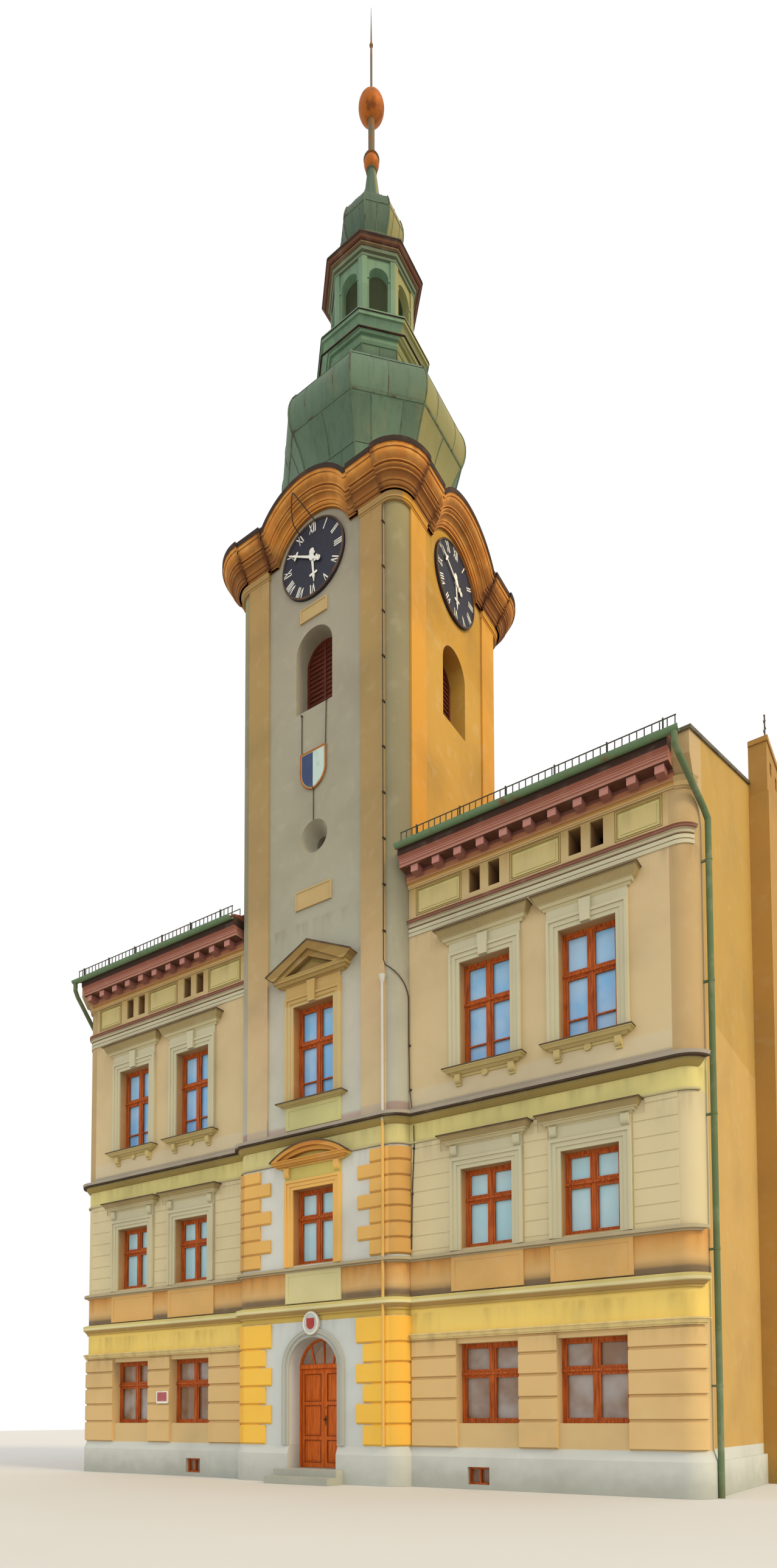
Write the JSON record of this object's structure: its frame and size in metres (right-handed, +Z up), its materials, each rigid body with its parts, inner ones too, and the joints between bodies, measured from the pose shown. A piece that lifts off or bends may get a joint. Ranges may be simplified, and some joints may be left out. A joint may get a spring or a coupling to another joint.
{
  "type": "town hall building",
  "caption": "Gabled town hall with a projecting clock tower, a round-headed double door, an eyebrow cornice and an octagonal copper onion helm with an open lantern.",
  "frame": {"origin": "middle of the footprint, on the ground", "axes": "+X along the street front to the right, +Y from the street into the building, +Z up"},
  "size_m": [18.06, 12.809, 39.45],
  "materials": {
    "cream_render": "matt painted render",
    "tower_render": "matt painted render",
    "ochre_trim": "matt painted render",
    "yellow_quoin": "matt painted render",
    "white_trim": "matt painted render",
    "cornice_rose": "matt painted render",
    "string_render": "matt painted render",
    "floor_boards": "bare boards",
    "roof_tiles": "matt fired clay",
    "door_stone": "dressed stone",
    "green_copper": "weathered copper",
    "dark_copper": "dull brown metal",
    "green_pipe": "painted sheet metal",
    "gilding": "worn gilding",
    "dial_enamel": "dark enamel",
    "hand_enamel": "white enamel",
    "brown_timber": "varnished timber",
    "shutter_timber": "painted timber",
    "window_glass": "clear glass"
  },
  "bodies": {
    "house": {"front_walls": "cream_render", "side_walls": "ochre_trim", "rear_wall": "cream_render", "tower_base_piers": "white_trim", "doorway_arch": "white_trim", "tower_front_wall": "tower_render", "tower_side_walls": "tower_render", "tower_rear_wall": "tower_render", "wing_floors": "floor_boards", "middle_floors": "floor_boards", "roof_front": "roof_tiles", "roof_rear": "roof_tiles", "gable_copings": "roof_tiles", "eaves_cornices": "cornice_rose", "gutters": "green_pipe", "snow_guards": "green_pipe", "downpipes": "green_pipe", "wing_string_courses": "string_render", "tower_string_courses": "string_render", "wing_window_surrounds": "white_trim", "window_hoods": "string_render", "window_sills": "white_trim", "tower_window_surrounds": "ochre_trim", "tower_quoins": "yellow_quoin", "rusticated_piers": "cream_render", "window_aprons": "ochre_trim", "wing_courses": "cream_render", "window_frames_front": "brown_timber", "window_frames_rear": "brown_timber", "window_glass_front": "window_glass", "window_glass_rear": "window_glass", "door_frame": "brown_timber", "door_surround": "door_stone", "door_steps": "door_stone", "clock_dials": "dial_enamel", "belfry_shutters": "shutter_timber", "plaques": "white_trim", "tower_pilasters": "ochre_trim", "tower_cornice": "ochre_trim", "cornice_roof": "dark_copper", "lower_onion": "green_copper", "lantern_platform": "green_copper", "lantern_piers": "green_copper", "lantern_arches": "green_copper", "lantern_cornice": "dark_copper", "upper_onion": "green_copper", "gilt_balls": "gilding", "finial_rod": "dark_copper", "side_stacks": "ochre_trim"},
    "door_leaf_left": {"door_leaf_left": "brown_timber"},
    "door_leaf_right": {"door_leaf_right": "brown_timber"},
    "hour_hand_front": {"hour_hand_front": "hand_enamel"},
    "hour_hand_right": {"hour_hand_right": "hand_enamel"},
    "hour_hand_rear": {"hour_hand_rear": "hand_enamel"},
    "hour_hand_left": {"hour_hand_left": "hand_enamel"},
    "minute_hand_front": {"minute_hand_front": "hand_enamel"},
    "minute_hand_right": {"minute_hand_right": "hand_enamel"},
    "minute_hand_rear": {"minute_hand_rear": "hand_enamel"},
    "minute_hand_left": {"minute_hand_left": "hand_enamel"}
  },
  "joints": [
    {"name": "door_left_swing", "type": "hinge", "parent": "house", "child": "door_leaf_left", "pos_m": [-0.6475, -5.2775, 1.25], "axis": [0, 0, 1], "range_deg": [0, 90]},
    {"name": "door_right_swing", "type": "hinge", "parent": "house", "child": "door_leaf_right", "pos_m": [0.6475, -5.2775, 1.25], "axis": [0, 0, -1], "range_deg": [0, 90]},
    {"name": "minute_front_turn", "type": "hinge", "parent": "house", "child": "minute_hand_front", "pos_m": [0, -5.7545, 21.837], "axis": [0, 1, 0], "continuous": true},
    {"name": "hour_front_turn", "type": "hinge", "parent": "house", "child": "hour_hand_front", "pos_m": [0, -5.7545, 21.837], "axis": [0, 1, 0], "continuous": true},
    {"name": "minute_right_turn", "type": "hinge", "parent": "house", "child": "minute_hand_right", "pos_m": [2.422, -3.3325, 21.837], "axis": [-1, 0, 0], "continuous": true},
    {"name": "hour_right_turn", "type": "hinge", "parent": "house", "child": "hour_hand_right", "pos_m": [2.422, -3.3325, 21.837], "axis": [-1, 0, 0], "continuous": true},
    {"name": "minute_rear_turn", "type": "hinge", "parent": "house", "child": "minute_hand_rear", "pos_m": [0, -0.9105, 21.837], "axis": [0, -1, 0], "continuous": true},
    {"name": "hour_rear_turn", "type": "hinge", "parent": "house", "child": "hour_hand_rear", "pos_m": [0, -0.9105, 21.837], "axis": [0, -1, 0], "continuous": true},
    {"name": "minute_left_turn", "type": "hinge", "parent": "house", "child": "minute_hand_left", "pos_m": [-2.422, -3.3325, 21.837], "axis": [1, 0, 0], "continuous": true},
    {"name": "hour_left_turn", "type": "hinge", "parent": "house", "child": "hour_hand_left", "pos_m": [-2.422, -3.3325, 21.837], "axis": [1, 0, 0], "continuous": true}
  ],
  "couplings": [
    {"joint": "hour_front_turn", "follows": "minute_front_turn", "ratio": 0.083333},
    {"joint": "minute_right_turn", "follows": "minute_front_turn", "ratio": 1},
    {"joint": "hour_right_turn", "follows": "minute_front_turn", "ratio": 0.083333},
    {"joint": "minute_rear_turn", "follows": "minute_front_turn", "ratio": 1},
    {"joint": "hour_rear_turn", "follows": "minute_front_turn", "ratio": 0.083333},
    {"joint": "minute_left_turn", "follows": "minute_front_turn", "ratio": 1},
    {"joint": "hour_left_turn", "follows": "minute_front_turn", "ratio": 0.083333}
  ]
}
